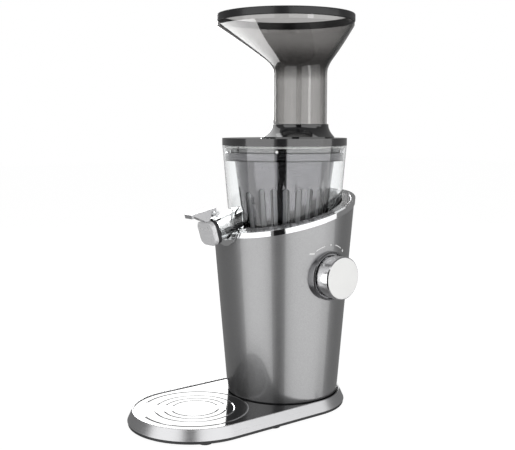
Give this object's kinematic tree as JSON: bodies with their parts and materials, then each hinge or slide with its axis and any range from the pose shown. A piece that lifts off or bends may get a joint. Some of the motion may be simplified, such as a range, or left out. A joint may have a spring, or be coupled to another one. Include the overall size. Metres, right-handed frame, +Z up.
{
  "type": "upright slow juicer with a hopper",
  "caption": "Upright slow juicer: tapered motor column on an oval base with a cup tray, clear juice bowl with slotted strainers, auger, capped spout and a tall smoke hopper.",
  "frame": {"origin": "on the floor plane, below the axis of the bowl and auger", "axes": "+Z up, -X towards the juice spout and the cup tray, -Y out of the face of the knob"},
  "size_m": [0.2909, 0.2127, 0.462],
  "materials": {
    "foot_rubber": "moulded rubber",
    "pan_plastic": "fine grained moulding",
    "rim_metal": "brushed along the band",
    "tray_gloss": "polished black",
    "steel": "plain zinc plated",
    "body_paint": "metallic silver grey lacquer",
    "collar_chrome": "bright plated",
    "well_plastic": "silver grey",
    "seal_rubber": "smooth",
    "die_cast": "die cast alloy",
    "can_steel": "dark coated",
    "core_steel": "stacked sheet",
    "copper": "enamelled wire",
    "board_green": "glass laminate",
    "part_plastic": "moulded parts",
    "gear_nylon": "natural nylon",
    "gear_metal": "sintered",
    "bezel_grey": "satin grey",
    "knob_silver": "satin silver",
    "face_white": "satin white",
    "bowl_clear": "clear moulding",
    "strainer_smoke": "smoke moulding",
    "cap_silver": "satin grey",
    "auger_dark": "dark moulding",
    "lid_dark": "dark grey moulding",
    "neck_black": "polished black",
    "seal_pale": "soft",
    "bush_white": "plain bearing",
    "hopper_smoke": "smoke moulding"
  },
  "bodies": {
    "base": {"feet": "foot_rubber", "base_pan": "pan_plastic", "base_rim": "rim_metal", "base_deck": "tray_gloss", "base_screws": "steel", "body_floor": "pan_plastic", "body_shell": "body_paint", "collar_ring": "collar_chrome", "body_well": "well_plastic", "shaft_seal": "seal_rubber", "gearbox_housing": "die_cast", "gearbox_cover": "die_cast", "gearbox_screws": "steel", "drive_bearings": "steel", "idler_pins": "steel", "motor_can": "can_steel", "motor_end_cap": "can_steel", "motor_stator": "core_steel", "motor_windings": "copper", "motor_bearings": "steel", "motor_screws": "steel", "control_board": "board_green", "board_parts": "part_plastic", "rotary_switch": "part_plastic", "switch_nut": "steel", "knob_bezel": "bezel_grey", "reed_switch": "part_plastic", "cord_bush": "seal_rubber"},
    "drive": {"drive_shaft": "steel", "output_gear": "gear_metal"},
    "idler_one": {"reduction_gear_one": "gear_nylon"},
    "idler_two": {"reduction_gear_two": "gear_nylon"},
    "rotor": {"motor_shaft": "steel", "rotor_core": "core_steel", "motor_pinion": "gear_metal", "cooling_fan": "part_plastic"},
    "knob": {"knob_body": "knob_silver", "knob_face": "face_white", "knob_shaft": "steel"},
    "bowl": {"juice_bowl": "bowl_clear", "bowl_foot_seal": "seal_rubber", "bowl_magnet": "steel", "outer_strainer": "strainer_smoke", "inner_strainer": "strainer_smoke", "cap_hinge_pin": "steel"},
    "cap": {"spout_cap": "cap_silver", "cap_seal": "seal_rubber", "cap_lever": "cap_silver"},
    "auger": {"auger": "auger_dark", "auger_hub": "steel"},
    "lid": {"lid_plate": "lid_dark", "lid_neck": "neck_black", "lid_seal": "seal_pale", "lid_bush": "bush_white"},
    "hopper": {"hopper": "hopper_smoke", "hopper_rim": "neck_black"}
  },
  "joints": [
    {"name": "motor_spin", "type": "hinge", "parent": "base", "child": "rotor", "pos_m": [0, 0, 0.09], "axis": [0, 0, 1], "continuous": true},
    {"name": "idler_one_spin", "type": "hinge", "parent": "base", "child": "idler_one", "pos_m": [0, 0.035, 0.15], "axis": [0, 0, 1], "continuous": true},
    {"name": "idler_two_spin", "type": "hinge", "parent": "base", "child": "idler_two", "pos_m": [0.03031, 0.0175, 0.16], "axis": [0, 0, 1], "continuous": true},
    {"name": "drive_spin", "type": "hinge", "parent": "base", "child": "drive", "pos_m": [0, 0, 0.18], "axis": [0, 0, 1], "continuous": true},
    {"name": "knob_turn", "type": "hinge", "parent": "base", "child": "knob", "pos_m": [0, -0.09, 0.165], "axis": [0, -1, 0], "range_deg": [-45, 45]},
    {"name": "bowl_lift", "type": "slide", "parent": "base", "child": "bowl", "axis": [0, 0, 1], "range_m": [0, 0.09]},
    {"name": "auger_spin", "type": "hinge", "parent": "bowl", "child": "auger", "pos_m": [0, 0, 0.22], "axis": [0, 0, 1], "continuous": true},
    {"name": "cap_swing", "type": "hinge", "parent": "bowl", "child": "cap", "pos_m": [-0.10441, 0, 0.23555], "axis": [0, 1, 0], "range_deg": [0, 95]},
    {"name": "lid_twist", "type": "hinge", "parent": "bowl", "child": "lid", "pos_m": [0, 0, 0.31], "axis": [0, 0, 1], "range_deg": [0, 30]},
    {"name": "hopper_lift", "type": "slide", "parent": "lid", "child": "hopper", "axis": [0, 0, 1], "range_m": [0, 0.06]}
  ],
  "couplings": [
    {"joint": "idler_one_spin", "follows": "motor_spin", "ratio": -0.2069},
    {"joint": "idler_two_spin", "follows": "motor_spin", "ratio": 0.056426},
    {"joint": "drive_spin", "follows": "motor_spin", "ratio": -0.017819},
    {"joint": "auger_spin", "follows": "motor_spin", "ratio": -0.017819}
  ]
}
